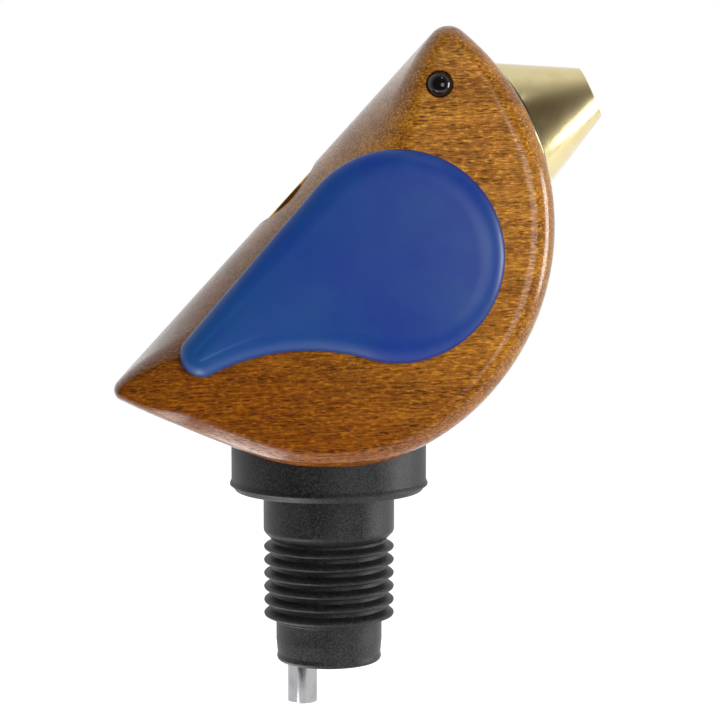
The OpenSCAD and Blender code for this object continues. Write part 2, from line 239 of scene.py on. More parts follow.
class Finish:
    """A material with a Principled shader. Plain values go on its sockets directly."""

    def __init__(self, name, **settings):
        self.material = bpy.data.materials.new(name)
        self.material.use_nodes = True
        self.tree = self.material.node_tree
        self.shader = self.tree.nodes["Principled BSDF"]
        for socket, value in settings.items():
            self.shader.inputs[socket.replace("_", " ")].default_value = value

    def node(self, kind, settings=None, inputs=None, out=0):
        """Adds a node: its settings first, then the values or wires of its inputs."""
        made = self.tree.nodes.new(kind)
        for key, value in (settings or {}).items():
            setattr(made, key, value)
        for key, value in (inputs or {}).items():
            if isinstance(value, Wire):
                self.tree.links.new(value.socket, made.inputs[key])
            else:
                made.inputs[key].default_value = value
        return Wire(self, made.outputs[out])

    def feed(self, socket, wire):
        self.tree.links.new(wire.socket, self.shader.inputs[socket])

    def blend(self, a, b, factor, mode="MIX"):
        """A colour mixed from two colours by a factor."""
        settings = {"data_type": "RGBA", "blend_type": mode, "clamp_factor": True}
        return self.node("ShaderNodeMix", settings, {0: factor, 6: a, 7: b}, 2)

    def span(self, value, low, high, start=0.0, end=1.0):
        """Turns low..high into start..end with soft ends."""
        inputs = {"Value": value, "From Min": low, "From Max": high, "To Min": start, "To Max": end}
        return self.node("ShaderNodeMapRange", {"interpolation_type": "SMOOTHSTEP"}, inputs)

    def place(self, stretch=(1, 1, 1), shift=(0, 0, 0), turn=(0, 0, 0)):
        """Object coordinates in millimetres, turned, then divided by stretch."""
        coords = self.node("ShaderNodeTexCoord", out="Object")
        turned = self.node("ShaderNodeMapping", {}, {
            "Vector": coords, "Rotation": [math.radians(t) for t in turn],
            "Location": shift, "Scale": (1 / MM, 1 / MM, 1 / MM)})
        return self.node("ShaderNodeMapping", {}, {
            "Vector": turned, "Scale": [1 / s for s in stretch]})

    def part(self, where, axis):
        """One coordinate of a place, in millimetres."""
        return self.node("ShaderNodeSeparateXYZ", {}, {"Vector": where}, axis)

    def along(self, where, direction):
        """How far a place lies along a direction: their dot product."""
        return self.node("ShaderNodeVectorMath", {"operation": "DOT_PRODUCT"},
                         {0: where, 1: direction}, "Value")

    def noise(self, where, detail=3.0, rough=0.5):
        """Soft noise in 0..1 whose blobs are about as large as the stretch of where."""
        return self.node("ShaderNodeTexNoise", {}, {
            "Vector": where, "Scale": 1.0, "Detail": detail, "Roughness": rough})

    def bump(self, height, depth_mm):
        """Leans the surface by a height in 0..1 that stands for depth_mm of relief."""
        return self.node("ShaderNodeBump", {}, {
            "Height": height, "Distance": depth_mm * MM, "Strength": 1.0})


def colour(red, green, blue):
    """A screen colour in 0..255 as the linear colour that shaders use."""
    c = np.array([red, green, blue]) / 255
    linear = np.where(c <= 0.04045, c / 12.92, ((c + 0.055) / 1.055) ** 2.4)
    return (*linear.tolist(), 1.0)


print("mid grey is linear", round(colour(128, 128, 128)[0], 3))

# %% [markdown]
# ## Camera and room
# A long lens keeps a small object free of perspective stretch. The camera stands level with the
# bird, a little above it, and looks down by six degrees at its right side.
# The room is a light tent: bright behind, above and below the object, darker round the camera.
# Curved metal needs that dark side, because it shows as the deep band along the beak. The
# camera itself sees plain white. Soft boxes add the light and the highlights: a fill from the
# front, a box for the sheen on the wing, one from the right for the streak down the breast, and
# a strip from below for the line under the belly.

# %% Camera
camera_data = bpy.data.cameras.new("camera")
SENSOR_WIDTH, LENS = 36, 119.1
camera_data.sensor_width = SENSOR_WIDTH
camera_data.lens = LENS
camera = bpy.data.objects.new("camera", camera_data)
look_at = np.array([5.0, 0.0, 20.8])
camera_away = 380
camera_tilt = math.radians(6)
step_back = camera_away * np.array([0, -math.cos(camera_tilt), math.sin(camera_tilt)])
camera.location = (look_at + step_back) * MM
camera.rotation_euler = (math.pi / 2 - camera_tilt, 0, 0)
scene.collection.objects.link(camera)
scene.camera = camera
scene.view_settings.view_transform = "Standard"
print("camera at", tuple(round(c, 4) for c in camera.location))

# %% The light tent
world = bpy.data.worlds.new("tent")
scene.world = world
world.use_nodes = True
sky = world.node_tree
sky.nodes.clear()
direction = sky.nodes.new("ShaderNodeTexCoord")
split = sky.nodes.new("ShaderNodeSeparateXYZ")
sky.links.new(direction.outputs["Generated"], split.inputs[0])
DARK_UNTIL, BRIGHT_FROM = -0.62, 0.22   # the Y of a direction: -1 is straight to the camera
depth_ramp = sky.nodes.new("ShaderNodeMapRange")
depth_ramp.interpolation_type = "SMOOTHSTEP"
depth_ramp.inputs["From Min"].default_value = DARK_UNTIL
depth_ramp.inputs["From Max"].default_value = BRIGHT_FROM
sky.links.new(split.outputs["Y"], depth_ramp.inputs["Value"])
TENT_FRONT = (0.105, 0.082, 0.070, 1)
TENT_BACK = (1, 1, 1, 1)
tent_colour = sky.nodes.new("ShaderNodeMix")
tent_colour.data_type = "RGBA"
tent_colour.inputs[6].default_value = TENT_FRONT
tent_colour.inputs[7].default_value = TENT_BACK
sky.links.new(depth_ramp.outputs[0], tent_colour.inputs[0])
tent = sky.nodes.new("ShaderNodeBackground")
sky.links.new(tent_colour.outputs[2], tent.inputs["Color"])
backdrop = sky.nodes.new("ShaderNodeBackground")
backdrop.inputs["Color"].default_value = TENT_BACK
backdrop.inputs["Strength"].default_value = 1.0
rays = sky.nodes.new("ShaderNodeLightPath")
chooser = sky.nodes.new("ShaderNodeMixShader")
sky.links.new(rays.outputs["Is Camera Ray"], chooser.inputs[0])
sky.links.new(tent.outputs[0], chooser.inputs[1])
sky.links.new(backdrop.outputs[0], chooser.inputs[2])
world_out = sky.nodes.new("ShaderNodeOutputWorld")
sky.links.new(chooser.outputs[0], world_out.inputs["Surface"])
print("tent from", TENT_FRONT, "in front to", TENT_BACK, "behind")


# %% Soft boxes
def soft_box(name, place_mm, target_mm, size_mm, watts, shows=True, lights=True):
    """An area light at a place, facing a target: its -Z axis runs along target - place.
    A light that doesn't show lights matt surfaces but leaves no highlight on glossy ones.
    One with lights=False does the opposite: it is only a highlight."""
    data = bpy.data.lights.new(name, "AREA")
    data.shape = "RECTANGLE"
    data.size = size_mm[0] * MM
    data.size_y = size_mm[1] * MM
    data.energy = watts
    box = bpy.data.objects.new(name, data)
    scene.collection.objects.link(box)
    box.visible_glossy = shows
    box.visible_diffuse = lights
    box.visible_camera = False
    spot, aim = np.array(place_mm, float), np.array(target_mm, float)
    box.location = spot * MM
    forward = aim - spot
    forward /= np.linalg.norm(forward)
    heading = math.atan2(forward[0], -forward[1]) + math.pi
    box.rotation_euler = (math.acos(-forward[2]), 0, heading)
    print(name, watts, "W")


middle = (5, 0, 30)
underside = (-20, -12, 5)
soft_box("fill_box", (120, -470, 160), middle, (300, 300), 1.55, shows=False)
soft_box("front_box", (240, -470, 0), middle, (260, 260), 0.92)
soft_box("top_box", (150, -235, 430), middle, (90, 90), 0.12)
soft_box("right_box", (470, 0, 10), middle, (150, 240), 1.6, lights=False)
soft_box("low_strip", (-36, -12, -66), underside, (110, 26), 0.045)

# %% [markdown]
# ## Floor
# The floor is a round pale table top, far enough below the stopper that no sharp shadow falls on
# it. It ends a little way in front, so that upright parts reflect the darker side of the tent.

# %% Floor
floor_z = -70
floor_r = 360
floor_back = 260
turn = np.linspace(0, 2 * np.pi, 180, endpoint=False)
floor_points = np.stack([floor_r * np.cos(turn), floor_r * np.sin(turn) + floor_back,
                         0 * turn + floor_z], -1)
floor_mesh = bpy.data.meshes.new("floor")
floor_mesh.from_pydata((floor_points * MM).tolist(), [], [list(range(len(turn)))])
floor = add_object("floor", floor_mesh)
floor_finish = Finish("floor_paper", Base_Color=(0.9, 0.9, 0.9, 1), Roughness=0.8,
                      Emission_Color=(1, 1, 1, 1), Emission_Strength=0.55)
floor_grain = floor_finish.noise(floor_finish.place((9, 9, 9)), detail=2)
floor_tone = floor_finish.blend((0.90, 0.90, 0.90, 1), (0.92, 0.92, 0.92, 1), floor_grain)
floor_finish.feed("Base Color", floor_tone)
floor_mesh.materials.append(floor_finish.material)
print("floor at", floor_z, "mm")

# %% [markdown]
# ## Walnut
# Walnut is brown with three scales of pattern. Wide growth bands run nearly along the grain, with
# a few dark figures. Finer fibres are stretched noise, about thirty times longer than wide. The
# pores are short dark dashes. One solid pattern on Object coordinates is used, so the grain runs
# right through the block and matches at every edge, as in a piece cut from one board. Over that,
# the colour is darkened low down as painted shade, lightened towards the head as painted light and
# made greyer under the back as a painted sheen, and one dark line crosses the face. A
# satin lacquer lies over it as a coat.

# %% Walnut
wood = Finish("walnut_lacquered", IOR=1.45, Specular_IOR_Level=0.05,
              Coat_Roughness=0.17, Coat_IOR=1.42)
GRAIN_TURN = (0, 3, 0)
BAND_SHIFT = (1.0, 2.2, 2.2)
wander = wood.noise(wood.place((46, 20, 14), turn=GRAIN_TURN), detail=2)
bands_at = wood.node("ShaderNodeVectorMath", {"operation": "MULTIPLY_ADD"}, {
    0: wood.node("ShaderNodeCombineXYZ", {}, {"Z": wander, "Y": wander}),
    1: BAND_SHIFT, 2: wood.place((44, 7.5, 3.4), turn=GRAIN_TURN)})
bands = wood.noise(bands_at, detail=4, rough=0.62)
fibres = wood.noise(wood.place((9, 0.34, 0.26), turn=GRAIN_TURN), detail=4, rough=0.6)
hairs = wood.noise(wood.place((2.6, 0.12, 0.10), turn=GRAIN_TURN), detail=2, rough=0.6)
pore_cells = wood.node("ShaderNodeTexVoronoi", {"feature": "F1"}, {
    "Vector": wood.place((1.9, 0.30, 0.27), turn=GRAIN_TURN), "Scale": 1.0, "Randomness": 1.0})
pore_rows = wood.noise(wood.place((15, 1.6, 1.0), shift=(3, 5, 7)), detail=2)
pores = wood.span(pore_cells, 0.42, 0.14) * wood.span(pore_rows, 0.40, 0.58)
speckle = wood.noise(wood.place((1.0, 0.30, 0.30), shift=(2, 8, 4)), detail=3, rough=0.65)
figure_at = wood.place((21, 17, 8), shift=(11, 2, 5), turn=(0, -8, 0))
figure = wood.noise(figure_at, detail=2, rough=0.45)
print("walnut patterns:", len(wood.tree.nodes), "nodes")

# %% Walnut's colours
tone = wood.blend(colour(112, 60, 12), colour(158, 100, 32), wood.span(bands, 0.25, 0.75))
tone = wood.blend(tone, colour(72, 34, 6), wood.span(fibres, 0.48, 0.74, 0.0, 0.72))
tone = wood.blend(tone, colour(192, 132, 54), wood.span(fibres, 0.48, 0.26, 0.0, 0.60))
tone = wood.blend(tone, colour(62, 30, 6), wood.span(hairs, 0.50, 0.76, 0.0, 0.60))
tone = wood.blend(tone, colour(92, 46, 12), wood.span(figure, 0.55, 0.75, 0.0, 0.38))
tone = wood.blend(tone, colour(204, 142, 52), wood.span(speckle, 0.50, 0.72, 0.0, 0.70))
tone = wood.blend(tone, colour(66, 30, 4), wood.span(speckle, 0.48, 0.28, 0.0, 0.62))
tone = wood.blend(tone, colour(38, 18, 6), pores * 0.85)

# %% Walnut's painted shade, light and sheen, its dark line, and its gloss
TO_HEAD, TO_BACK = (0.55, 0.0, 0.83), (-0.74, 0.0, 0.672)
# Tints that multiply the wood: painted shade low down, painted light at the head, a painted sheen
# at the back, and the dark line.
LOW_SHADE_TINT, HEAD_LIGHT_TINT = (0.68, 0.52, 0.14, 1), (1.34, 1.46, 1.15, 1)
BACK_SHEEN_TINT, LINE_TINT = (0.66, 0.70, 0.95, 1), (0.60, 0.54, 0.50, 1)
LINE_LOW, LINE_HIGH, LINE_EDGE, LINE_START = 62.8, 67.4, 1.8, 13
# Painted shade and light: the wood is darkened low down and lightened towards the head.
painted_light_to_head = wood.span(wood.along(wood.place(), TO_HEAD), 4, 50)
tone = wood.blend(tone, wood.blend(LOW_SHADE_TINT, HEAD_LIGHT_TINT, painted_light_to_head), 1.0, "MULTIPLY")
# Painted sheen: the wood near the back is made greyer and darker, standing for the grey reflection
# along the back.
painted_sheen_to_back = wood.span(wood.along(wood.place(), TO_BACK), 26, 36, 0.0, 0.8)
tone = wood.blend(tone, BACK_SHEEN_TINT, painted_sheen_to_back, "MULTIPLY")
wavy = wood.part(wood.place(), "Z") + wander * 5
dark_line = (wood.span(wavy, LINE_LOW, LINE_LOW + LINE_EDGE)
             * wood.span(wavy, LINE_HIGH, LINE_HIGH - LINE_EDGE)
             * wood.span(wood.part(wood.place(), "X"), LINE_START, LINE_START + 6))
tone = wood.blend(tone, LINE_TINT, dark_line * 0.8, "MULTIPLY")
wood.feed("Base Color", tone)
wood.feed("Roughness", wood.span(fibres, 0.2, 0.8, 0.42, 0.58))
wood.feed("Coat Weight", 0.85 - pores * 0.5)
grain_height = fibres * 0.5 + hairs * 0.3 - pores
wood.feed("Normal", wood.bump(grain_height, 0.035))
print("walnut nodes:", len(wood.tree.nodes))

# %% [markdown]
# ## Blue lacquer, brass, glass, rubber, steel and plastics
# Paint on the wings is satin, with a faint orange-peel surface and small changes of gloss.
# Brass is a metal: its colour comes from its reflections, so its base is pale yellow and the tent
# does the rest. Turned brass keeps fine rings round its axis, which a stretched noise gives.
# Rubber is nearly black and is broken up by a fine moulded grain.

# %% Blue lacquer
paint = Finish("blue_satin_paint", IOR=1.45, Specular_IOR_Level=0.2, Coat_Roughness=0.36)
clouds = paint.noise(paint.place((14, 14, 14)), detail=3)
mottle = paint.noise(paint.place((1.1, 1.1, 1.1)), detail=3)
peel = paint.noise(paint.place((0.32, 0.32, 0.32)), detail=2)
blue = paint.blend(colour(12, 48, 126), colour(14, 58, 124), paint.span(clouds, 0.35, 0.65))
blue = paint.blend(blue, colour(20, 52, 134), paint.span(mottle, 0.45, 0.75, 0.0, 0.5))
to_tip = paint.span(paint.part(paint.place(), "X"), 8, -22, 0.0, 0.6)
blue = paint.blend(blue, colour(20, 72, 126), to_tip)
paint.feed("Base Color", blue)
paint.feed("Roughness", paint.span(mottle, 0.3, 0.7, 0.38, 0.46))
paint.feed("Coat Weight", paint.span(clouds, 0.3, 0.7, 0.25, 0.4))
paint.feed("Normal", paint.bump(peel, 0.010))
print("paint ready")


# %% Metals
def metal(name, base, dark, rough, turn=0, axis_stretch=(6, 6, 0.08)):
    """A metal whose colour and gloss change in fine rings round the axis it was turned on."""
    made = Finish(name, Metallic=1.0)
    rings = made.noise(made.place(axis_stretch, turn=(0, turn, 0)), detail=3)
    haze = made.noise(made.place((3, 3, 3)), detail=3)
    made.feed("Base Color", made.blend(base, dark, made.span(haze, 0.40, 0.75, 0.0, 0.5)))
    made.feed("Roughness", made.span(rings * 0.6 + haze * 0.4, 0.35, 0.65, rough[0], rough[1]))
    made.feed("Normal", made.bump(rings, 0.0015))
    return made


brass = metal("satin_brass", colour(214, 200, 152), colour(206, 186, 132),
              (0.17, 0.24), 90 - BEAK_ANGLE)
steel = metal("tube_steel", colour(154, 154, 156), colour(112, 112, 116),
              (0.08, 0.16), 0, (0.25, 0.25, 9))
whistle_brass = metal("whistle_aged_brass", colour(190, 142, 66), colour(150, 104, 42),
                      (0.2, 0.3), BACK_NORMAL - 90)
print("metals ready")

# %% Rubber, glass and plastics
def moulded(name, base, worn, rough, grain_mm, relief_mm, **settings):
    """A moulded black or grey surface: fine grain in the colour, the gloss and the relief."""
    made = Finish(name, **settings)
    grain = made.noise(made.place((grain_mm,) * 3), detail=3, rough=0.6)
    patches = made.noise(made.place((6, 6, 6)), detail=3)
    wear = made.span(grain * 0.85 + patches * 0.15, 0.36, 0.64)
    made.feed("Base Color", made.blend(base, worn, wear))
    made.feed("Roughness", made.span(grain * 0.5 + patches * 0.5, 0.35, 0.65, rough[0], rough[1]))
    made.feed("Normal", made.bump(grain, relief_mm))
    return made


rubber = moulded("stopper_black_rubber", colour(10, 10, 10), colour(44, 44, 45),
                 (0.38, 0.52), 0.30, 0.060, Specular_IOR_Level=0.22)
seal = moulded("seal_black_rubber", colour(22, 22, 22), colour(28, 28, 28),
               (0.35, 0.45), 0.2, 0.006)
core = moulded("core_black_plastic", colour(34, 34, 36), colour(42, 42, 44),
               (0.38, 0.48), 0.3, 0.006)
liner = moulded("liner_grey_plastic", colour(96, 96, 98), colour(110, 110, 112),
                (0.4, 0.5), 0.3, 0.006)
bead = moulded("eye_black_glass", colour(8, 7, 8), colour(12, 10, 11),
               (0.05, 0.09), 1.5, 0.001, IOR=1.45)
print("moulded finishes ready")

# %% [markdown]
# ## The wooden body
# The bird is a slab cut to a simple outline of arcs, then rounded over. The outline is worked out
# as arcs that touch: breast, belly, underside, a tight tail, a straight back and a tight head. The
# surface is that outline, drawn in along its own normals as it nears either side. Across the
# back it is also drawn in by a wide circle, which crowns the back.

# %% Outline of the body
BODY_HALF = 18.0
ROUND_Y = 4.5
BREAST_C, BREAST_R = np.array([-3.62, 42.5]), 38.4
BELLY_R, UNDER_R, HEAD_R, TAIL_R = 32.15, 210.0, 3.2, 1.75
BREAST_END, BELLY_END = -52.6, -109.6
BACK_GAP, CROWN_R = 5.4, 22.0
EDGE_ROUND, HEAD_ROUND, TAIL_ROUND = 4.0, 2.6, 1.4
CROWN_RUN = 0.3
belly_c = BREAST_C + (BREAST_R - BELLY_R) * way(BREAST_END)
under_c = belly_c + (BELLY_R - UNDER_R) * way(BELLY_END)


def corner(c, big_r, r, sign):
    """Centre of a small arc inside a big arc (c, big_r) and inside the back's straight line."""
    up = BACK_GAP - r - (c - BREAST_C) @ way(BACK_NORMAL)
    run = math.sqrt((big_r - r) ** 2 - up * up)
    return c + up * way(BACK_NORMAL) + sign * run * way(BACK_NORMAL - 90)


def arc(c, r, start, end, count, round_0, round_1, blend=1.0):
    """Rows (x, z, normal, rounding, crown) along an arc, its end point left to the next arc."""
    t = np.arange(count) / count
    a = mix(start, end, t)
    rounding = mix(round_0, round_1, smooth(t / blend))
    return np.column_stack([c + r * way(a), a, rounding, 0 * t])


head_c = corner(BREAST_C, BREAST_R, HEAD_R, 1)
tail_c = corner(under_c, UNDER_R, TAIL_R, -1)
under = arc(under_c, UNDER_R, BELLY_END, towards(under_c, tail_c), 50, 0, 1)
under[:, 3] = mix(EDGE_ROUND, TAIL_ROUND, smooth(2 * under[:, 3] - 1))
t = np.arange(110) / 110
crown = smooth(t / CROWN_RUN) * smooth((1 - t) / CROWN_RUN)
back_start = tail_c + TAIL_R * way(BACK_NORMAL)
back_end = head_c + HEAD_R * way(BACK_NORMAL)
back = np.column_stack([back_start + (back_end - back_start) * t[:, None], 0 * t + BACK_NORMAL,
                        mix(mix(TAIL_ROUND, HEAD_ROUND, t), EDGE_ROUND, crown), crown])
outline = np.concatenate([
    arc(head_c, HEAD_R, BACK_NORMAL, towards(BREAST_C, head_c), 28, HEAD_ROUND, HEAD_ROUND),
    arc(BREAST_C, BREAST_R, towards(BREAST_C, head_c), BREAST_END, 120,
        HEAD_ROUND, EDGE_ROUND, 0.25),
    arc(belly_c, BELLY_R, BREAST_END, BELLY_END, 60, EDGE_ROUND, EDGE_ROUND),
    under,
    arc(tail_c, TAIL_R, towards(under_c, tail_c), BACK_NORMAL - 360, 28, TAIL_ROUND, TAIL_ROUND),
    back])
print("outline points:", len(outline))


# %% Surface of the body
def body_surface(flat_steps=12, round_steps=14, cap_inset=0.25):
    """Point = outline - draw * normal at distance y from the middle, where
    draw = crown y^2 / (2 CROWN_R) + rounding (1 - cos f), and y = start + ROUND_Y sin f."""
    start = BODY_HALF - ROUND_Y
    f = np.linspace(0, np.pi / 2, round_steps + 1)[1:]
    y = np.concatenate([np.linspace(0, start, flat_steps), start + ROUND_Y * np.sin(f),
                        [BODY_HALF]])
    curl = np.concatenate([np.zeros(flat_steps), 1 - np.cos(f), [1]])
    extra = np.append(np.zeros(len(y) - 1), cap_inset)
    y = np.concatenate([-y[:0:-1], y])
    curl = np.concatenate([curl[:0:-1], curl])
    extra = np.concatenate([extra[:0:-1], extra])
    draw = (outline[:, 4] * y[:, None] ** 2 / (2 * CROWN_R)
            + outline[:, 3] * curl[:, None] + extra[:, None])
    side = outline[:, :2] - draw[..., None] * way(outline[:, 2])
    return np.stack([side[..., 0], y[:, None] + 0 * draw, side[..., 1]], -1)


body_points = body_surface()
rings, around = body_points.shape[:2]
body = add_object("bird_body", new_mesh("bird_body", body_points, capped_faces(rings, around)))
print("body grid:", rings, "x", around)

# %% [markdown]
# ## Boring the body
# The bores are real: the stopper's recess and socket, the air duct, the spout, the beak's seat,
# the whistle's hole in the back and the two eye seats. Each cutter is a turned shape, and all of
# them are taken away with one exact Boolean. Where a bore meets the crowned back or the round
# breast, its edge is eased by a small flare. The flare's height follows the surface round the
# rim, so the ease is equally wide all the way round.

# %% Cutters
def plug_shape(radius, low, high, turns=96):
    """A closed cylinder from low to high."""
    return spin(np.array([[0, low], [radius, low], [radius, high], [0, high]], float), turns)


def eased_bore(radius, floor, rim, ease, top, turns=144, sweep=70):
    """A bore with a flared edge. rim(a) is the surface's height at turn a; the flare is part of
    a circle of radius ease that turns by sweep degrees and then runs straight out of the wood."""
    a = np.linspace(0, 2 * np.pi, turns, endpoint=False)
    f = np.linspace(0, math.radians(sweep), 7)
    r = np.concatenate([[0, radius], radius + ease * (1 - np.cos(f))])
    lift = ease * (np.sin(f) - 1)
    height = rim(a)
    z = np.concatenate([np.full((2, turns), floor), height + lift[:, None]])
    past = ease * 2.0
    r = np.append(r, [r[-1] + past * math.sin(f[-1]), r[-1] + past * math.sin(f[-1]), 0])
    z = np.concatenate([z, [z[-1] + past * math.cos(f[-1])], np.full((2, turns), top)])
    return np.stack([r[:, None] * np.cos(a), r[:, None] * np.sin(a), z], -1)


WHISTLE_C, WHISTLE_R, WHISTLE_DEPTH = np.array([-6.2, 47.1]), 6.2, 12.0
WHISTLE_EASE, BEAK_EASE, EYE_EASE, EYE_SWEEP = 0.15, 0.2, 0.08, 50
BEAK_SEAT_R, BEAK_FLOOR, BUSH_START, BUSH_R = 11.1, 36.5, 26.0, 5.6
SPOUT_R, JUNCTION_R, PAST_WOOD = 4.1, 5.2, 50
RECESS_R, RECESS_Z, LINER_R, LINER_TOP = 15.9, 10.8, 9.9, 27.2
TUBE_X, DUCT_R, DUCT_WALL, DUCT_TOP = -4.3, 2.47, 0.6, 33.0
EYE_C, EYE_R, EYE_CLEAR, EYE_SEAT = np.array([16.95, 64.35]), 1.92, 0.12, 2.4
spout_from, spout_to = np.array([3.9, 26.0]), BREAST_C + BUSH_START * way(BEAK_ANGLE)
spout_angle = towards(spout_from, spout_to)


def seat_rim(a):
    """Height of the breast's surface round the beak's seat: sqrt(R^2 - (r cos a)^2)."""
    return np.sqrt(BREAST_R ** 2 - (BEAK_SEAT_R * np.cos(a)) ** 2)


def back_rim(a):
    """Height of the crowned back round the whistle's hole: -(r sin a)^2 / (2 CROWN_R)."""
    return -(WHISTLE_R * np.sin(a)) ** 2 / (2 * CROWN_R)


def flat_rim(a):
    """Height of the bird's flat side round an eye's seat: 0 all the way."""
    return 0 * a


def upright(points, x=0.0):
    """A shape drawn up Z, moved forward by x."""
    return points + [x, 0, 0]


def sideways(points, side):
    """A shape drawn up Z, laid along +Y or -Y at the eye: z goes to side (BODY_HALF + z)."""
    x, y, z = points[..., 0], points[..., 1], points[..., 2]
    return np.stack([EYE_C[0] + x, side * (BODY_HALF + z), EYE_C[1] + y], -1)


ball = np.linspace(-np.pi / 2, np.pi / 2, 33)
junction = spin(JUNCTION_R * np.stack([np.cos(ball), np.sin(ball)], -1), 64)
cutters = {
    "recess": upright(plug_shape(RECESS_R, -10, RECESS_Z, 144)),
    "socket": upright(plug_shape(LINER_R, 0, LINER_TOP)),
    "duct": upright(plug_shape(DUCT_R + DUCT_WALL, 0, DUCT_TOP), TUBE_X),
    "air": upright(plug_shape(DUCT_R, 0, WHISTLE_C[1] - WHISTLE_R), TUBE_X),
    "spout": place(plug_shape(SPOUT_R, -SPOUT_R, np.linalg.norm(spout_to - spout_from)),
                   spout_from, spout_angle),
    "junction": place(junction, spout_to, BEAK_ANGLE),
    "bush": place(plug_shape(BUSH_R, BUSH_START, BEAK_FLOOR + 1), BREAST_C, BEAK_ANGLE),
    "beak_seat": place(eased_bore(BEAK_SEAT_R, BEAK_FLOOR, seat_rim, BEAK_EASE, PAST_WOOD),
                       BREAST_C, BEAK_ANGLE),
    "whistle": place(eased_bore(WHISTLE_R, -WHISTLE_DEPTH, back_rim, WHISTLE_EASE, 8),
                     WHISTLE_C, BACK_NORMAL),
}
for side, name in ((1, "left"), (-1, "right")):
    cutters["eye_" + name] = sideways(eased_bore(
        EYE_R + EYE_CLEAR, -EYE_SEAT, flat_rim, EYE_EASE, 2, 72, EYE_SWEEP), side)
print("cutters:", sorted(cutters))


# %% Cut the bores
def take_away(piece, shapes):
    """Cuts closed shapes out of a piece with one exact Boolean, and keeps the result."""
    group = bpy.data.collections.new("cutters")
    scene.collection.children.link(group)
    for name, points in shapes.items():
        rows, columns = points.shape[:2]
        tool = bpy.data.objects.new(name, new_mesh(name, points, grid_faces(rows, columns)))
        group.objects.link(tool)
    cut = piece.modifiers.new("bores", "BOOLEAN")
    cut.operation = "DIFFERENCE"
    cut.solver = "EXACT"
    cut.operand_type = "COLLECTION"
    cut.collection = group
    bpy.context.view_layer.update()
    evaluated = piece.evaluated_get(bpy.context.evaluated_depsgraph_get())
    result = bpy.data.meshes.new_from_object(evaluated)
    piece.modifiers.clear()
    piece.data = result
    for tool in list(group.objects):
        bpy.data.objects.remove(tool)
    bpy.data.collections.remove(group)


take_away(body, cutters)
shade(body.data)
dress(body, wood.material, "wooden_body")

# %% [markdown]
# ## The wings
# A wing is a raised teardrop with a rolled edge, like a pebble set on the side. Its outline is a
# large shoulder circle, a small tip circle, a straight line over the top and a hollow arc below.
# The surface rises from that outline over a quarter of an ellipse, then swells gently towards a
# line between the two circles.

# %% Outline of a wing
WING_C, WING_R = np.array([10.75, 38.4]), 16.2
TIP_C, TIP_R = np.array([-18.97, 23.5]), 3.35
HOLLOW_R, WING_ROLL, TIP_ROLL = 32.0, 4.5, 2.6
wing_gap = np.linalg.norm(WING_C - TIP_C)
wing_line = towards(TIP_C, WING_C)
top_normal = wing_line + math.degrees(math.acos((TIP_R - WING_R) / wing_gap))
reach = ((TIP_R + HOLLOW_R) ** 2 - (WING_R + HOLLOW_R) ** 2 + wing_gap ** 2) / (2 * wing_gap)
hollow_c = (TIP_C + reach * way(wing_line)
            + math.sqrt((TIP_R + HOLLOW_R) ** 2 - reach ** 2) * way(wing_line - 90))
hollow = arc(hollow_c, HOLLOW_R, towards(WING_C, hollow_c) + 180, towards(TIP_C, hollow_c) + 180,
             80, WING_ROLL, TIP_ROLL)
hollow[:, 2] -= 180
s = np.arange(60) / 60
line_start, line_end = TIP_C + TIP_R * way(top_normal), WING_C + WING_R * way(top_normal)
top_line = np.column_stack([line_start + (line_end - line_start) * s[:, None], 0 * s + top_normal,
                            mix(TIP_ROLL, WING_ROLL, smooth(s)), 0 * s])
wing_outline = np.concatenate([
    arc(WING_C, WING_R, top_normal, towards(WING_C, hollow_c), 160, WING_ROLL, WING_ROLL),
    hollow,
    arc(TIP_C, TIP_R, towards(TIP_C, hollow_c), top_normal - 360, 60, TIP_ROLL, TIP_ROLL),
    top_line])
print("wing outline points:", len(wing_outline))


# %% Surface of a wing
def wing_surface(wall=0.35, shoulder=2.72, height=3.0, roll_steps=16, swell_steps=12):
    """Point = outline - roll (1 - cos f) * normal at height wall + (shoulder - wall) sin f,
    then mixed by a share t towards its nearest point of the spine, at a height that swells by
    (height - shoulder) t (2 - t)."""
    f = np.linspace(0, np.pi / 2, roll_steps)
    level = wall + (shoulder - wall) * np.sin(f)
    drawn = wing_outline[:, 3] * (1 - np.cos(f))[:, None]
    rolled = wing_outline[:, :2] - drawn[..., None] * way(wing_outline[:, 2])
    inner = rolled[-1]
    along = np.clip((inner - TIP_C) @ way(wing_line) / wing_gap, 0.02, 1)
    spine = TIP_C + (WING_C - TIP_C) * along[:, None]
    t = np.linspace(0, 0.96, swell_steps)[1:]
    swollen = inner + (spine - inner) * t[:, None, None]
    side = np.concatenate([wing_outline[None, :, :2], rolled, swollen])
    up = np.concatenate([[0.0], level, shoulder + (height - shoulder) * t * (2 - t)])
    return side, up


side_xz, up = wing_surface()
rings, around = side_xz.shape[:2]
for side, name in ((1, "left"), (-1, "right")):
    y = side * (BODY_HALF + up)[:, None] + 0 * side_xz[..., 0]
    points = np.stack([side_xz[..., 0], y, side_xz[..., 1]], -1)
    mesh = new_mesh("wing_" + name, points, capped_faces(rings, around))
    wing = add_object(f"wing_{name}_painted", mesh)
    shade(wing.data)
    dress(wing, paint.material, "wing_" + name)

# %% [markdown]
# ## The eyes
# Each eye is a glass bead on a pin. The bead sits almost half out of its seat, and the narrow
# ring of shadow round it is the gap to the eased edge of the wood.

